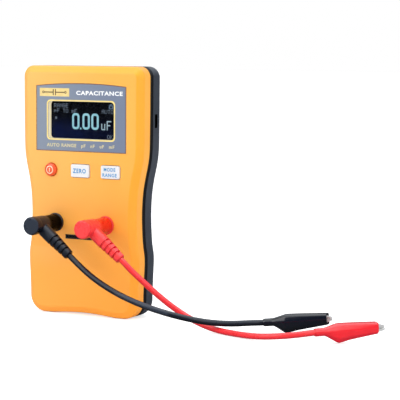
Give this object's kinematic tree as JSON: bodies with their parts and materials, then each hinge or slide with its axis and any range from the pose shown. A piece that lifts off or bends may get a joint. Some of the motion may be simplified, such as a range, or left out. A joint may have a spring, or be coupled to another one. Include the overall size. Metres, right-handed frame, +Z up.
{
  "type": "capacitance meter",
  "caption": "Upright handheld capacitance meter with dot-matrix display, three keys, two 4 mm jacks, a component test slot and plug-in test leads ending in crocodile clips.",
  "frame": {"origin": "centre of the case's base on the surface it stands on, mid-depth of the case", "axes": "+Z up along the meter's height, front face looks along -Y, +X to the right as seen from behind the display's viewer side (viewer's right)"},
  "size_m": [0.2814, 0.0656, 0.182],
  "materials": {
    "case_front": "fine-textured orange-yellow ABS",
    "case_rear": "fine-textured dark grey ABS",
    "overlay": "printed blue-grey polycarbonate film",
    "bezel": "light beige moulding",
    "lens": "clear acrylic",
    "display": "black glass of a dot-matrix display",
    "key_white": "satin white ABS",
    "key_red": "satin orange-red ABS",
    "black_plastic": "black moulded plastic",
    "red_plastic": "red moulded plastic",
    "black_pvc": "soft black PVC",
    "red_pvc": "soft red PVC",
    "nickel": "nickel plate",
    "copper": "bare copper strands",
    "brass": "gold-flashed brass",
    "steel": "zinc-plated steel",
    "board_green": "green solder mask",
    "component_black": "moulded epoxy",
    "component_tan": "lacquered resistor body",
    "capacitor_can": "aluminium can",
    "cell_sleeve": "printed steel can",
    "flex_amber": "polyimide film",
    "seal_black": "matt black rubber"
  },
  "bodies": {
    "meter": {"front_cover": "case_front", "rear_cover": "case_rear", "seal_band": "seal_black", "case_screws": "steel", "board_screws": "steel", "overlay_panel": "overlay", "display_bezel": "bezel", "display_lens": "lens", "display_module": "display", "display_ribbon": "flex_amber", "key_switches": "component_black", "jack_contacts": "nickel", "jack_nuts": "black_plastic", "test_socket": "black_plastic", "test_socket_contacts": "brass", "test_socket_board": "board_green", "front_board": "board_green", "main_board": "board_green", "board_header": "black_plastic", "board_header_pins": "brass", "microcontroller": "component_black", "comparator_chip": "component_black", "crystal": "nickel", "range_relay": "component_black", "electrolytic_capacitors": "capacitor_can", "reference_resistors": "component_tan", "usb_socket": "nickel", "usb_contact_tongue": "black_plastic", "aa_cells": "cell_sleeve", "battery_springs": "nickel", "battery_plates": "nickel", "black_jack": "black_plastic", "red_jack": "red_plastic"},
    "battery_cover": {"battery_door": "case_rear"},
    "power_key": {"power_button": "key_red", "power_plunger": "component_black"},
    "zero_key": {"zero_button": "key_white", "zero_plunger": "component_black"},
    "range_key": {"range_button": "key_white", "range_plunger": "component_black"},
    "black_plug_contact": {"black_plug_cage": "nickel"},
    "black_lead": {"black_plug_housing": "black_pvc", "black_plug_pin": "nickel", "black_cable": "black_pvc", "black_conductor": "copper"},
    "black_clip": {"black_clip_lower_jaw": "steel", "black_clip_rivet": "steel", "black_clip_boot": "black_pvc", "black_clip_spring": "steel"},
    "black_clip_jaw": {"black_clip_upper_jaw": "steel"},
    "red_plug_contact": {"red_plug_cage": "nickel"},
    "red_lead": {"red_plug_housing": "red_pvc", "red_plug_pin": "nickel", "red_cable": "red_pvc", "red_conductor": "copper"},
    "red_clip": {"red_clip_lower_jaw": "steel", "red_clip_rivet": "steel", "red_clip_boot": "red_pvc", "red_clip_spring": "steel"},
    "red_clip_jaw": {"red_clip_upper_jaw": "steel"}
  },
  "joints": [
    {"name": "battery_cover_slide", "type": "slide", "parent": "meter", "child": "battery_cover", "axis": [0, 1, 0], "range_m": [0, 0.012]},
    {"name": "power_key_press", "type": "slide", "parent": "meter", "child": "power_key", "axis": [0, 1, 0], "range_m": [0, 0.0004], "stiffness_N_per_m": 200},
    {"name": "zero_key_press", "type": "slide", "parent": "meter", "child": "zero_key", "axis": [0, 1, 0], "range_m": [0, 0.0004], "stiffness_N_per_m": 200},
    {"name": "range_key_press", "type": "slide", "parent": "meter", "child": "range_key", "axis": [0, 1, 0], "range_m": [0, 0.0004], "stiffness_N_per_m": 200},
    {"name": "black_plug_pull", "type": "slide", "parent": "meter", "child": "black_plug_contact", "axis": [0, -1, 0], "range_m": [0, 0.015]},
    {"name": "black_plug_swivel", "type": "hinge", "parent": "black_plug_contact", "child": "black_lead", "pos_m": [-0.02139, -0.0085, 0.06784], "axis": [0, -1, 0], "range_deg": [0, 14]},
    {"name": "black_lead_flex", "type": "hinge", "parent": "black_lead", "child": "black_clip", "pos_m": [0.0781, -0.0478, 0.01665], "axis": [0, 0, 1], "range_deg": [-5, 12], "stiffness_Nm_per_rad": 0.05, "deforming": ["black_cable", "black_conductor"]},
    {"name": "black_clip_open", "type": "hinge", "parent": "black_clip", "child": "black_clip_jaw", "pos_m": [0.1651, -0.00344, 0.00893], "axis": [0.1418, -0.9899, 0], "range_deg": [0, 14], "stiffness_Nm_per_rad": 0.2, "deforming": ["black_clip_boot"]},
    {"name": "red_plug_pull", "type": "slide", "parent": "meter", "child": "red_plug_contact", "axis": [0, -1, 0], "range_m": [0, 0.015]},
    {"name": "red_plug_swivel", "type": "hinge", "parent": "red_plug_contact", "child": "red_lead", "pos_m": [0.02139, -0.0085, 0.06784], "axis": [0, -1, 0], "range_deg": [0, 35]},
    {"name": "red_lead_flex", "type": "hinge", "parent": "red_lead", "child": "red_clip", "pos_m": [0.1133, -0.0269, 0.003], "axis": [0, 0, 1], "range_deg": [-12, 8], "stiffness_Nm_per_rad": 0.05, "deforming": ["red_cable", "red_conductor"]},
    {"name": "red_clip_open", "type": "hinge", "parent": "red_clip", "child": "red_clip_jaw", "pos_m": [0.20902, -0.01572, 0.00844], "axis": [0.689, -0.7248, 0], "range_deg": [0, 14], "stiffness_Nm_per_rad": 0.2, "deforming": ["red_clip_boot"]}
  ]
}
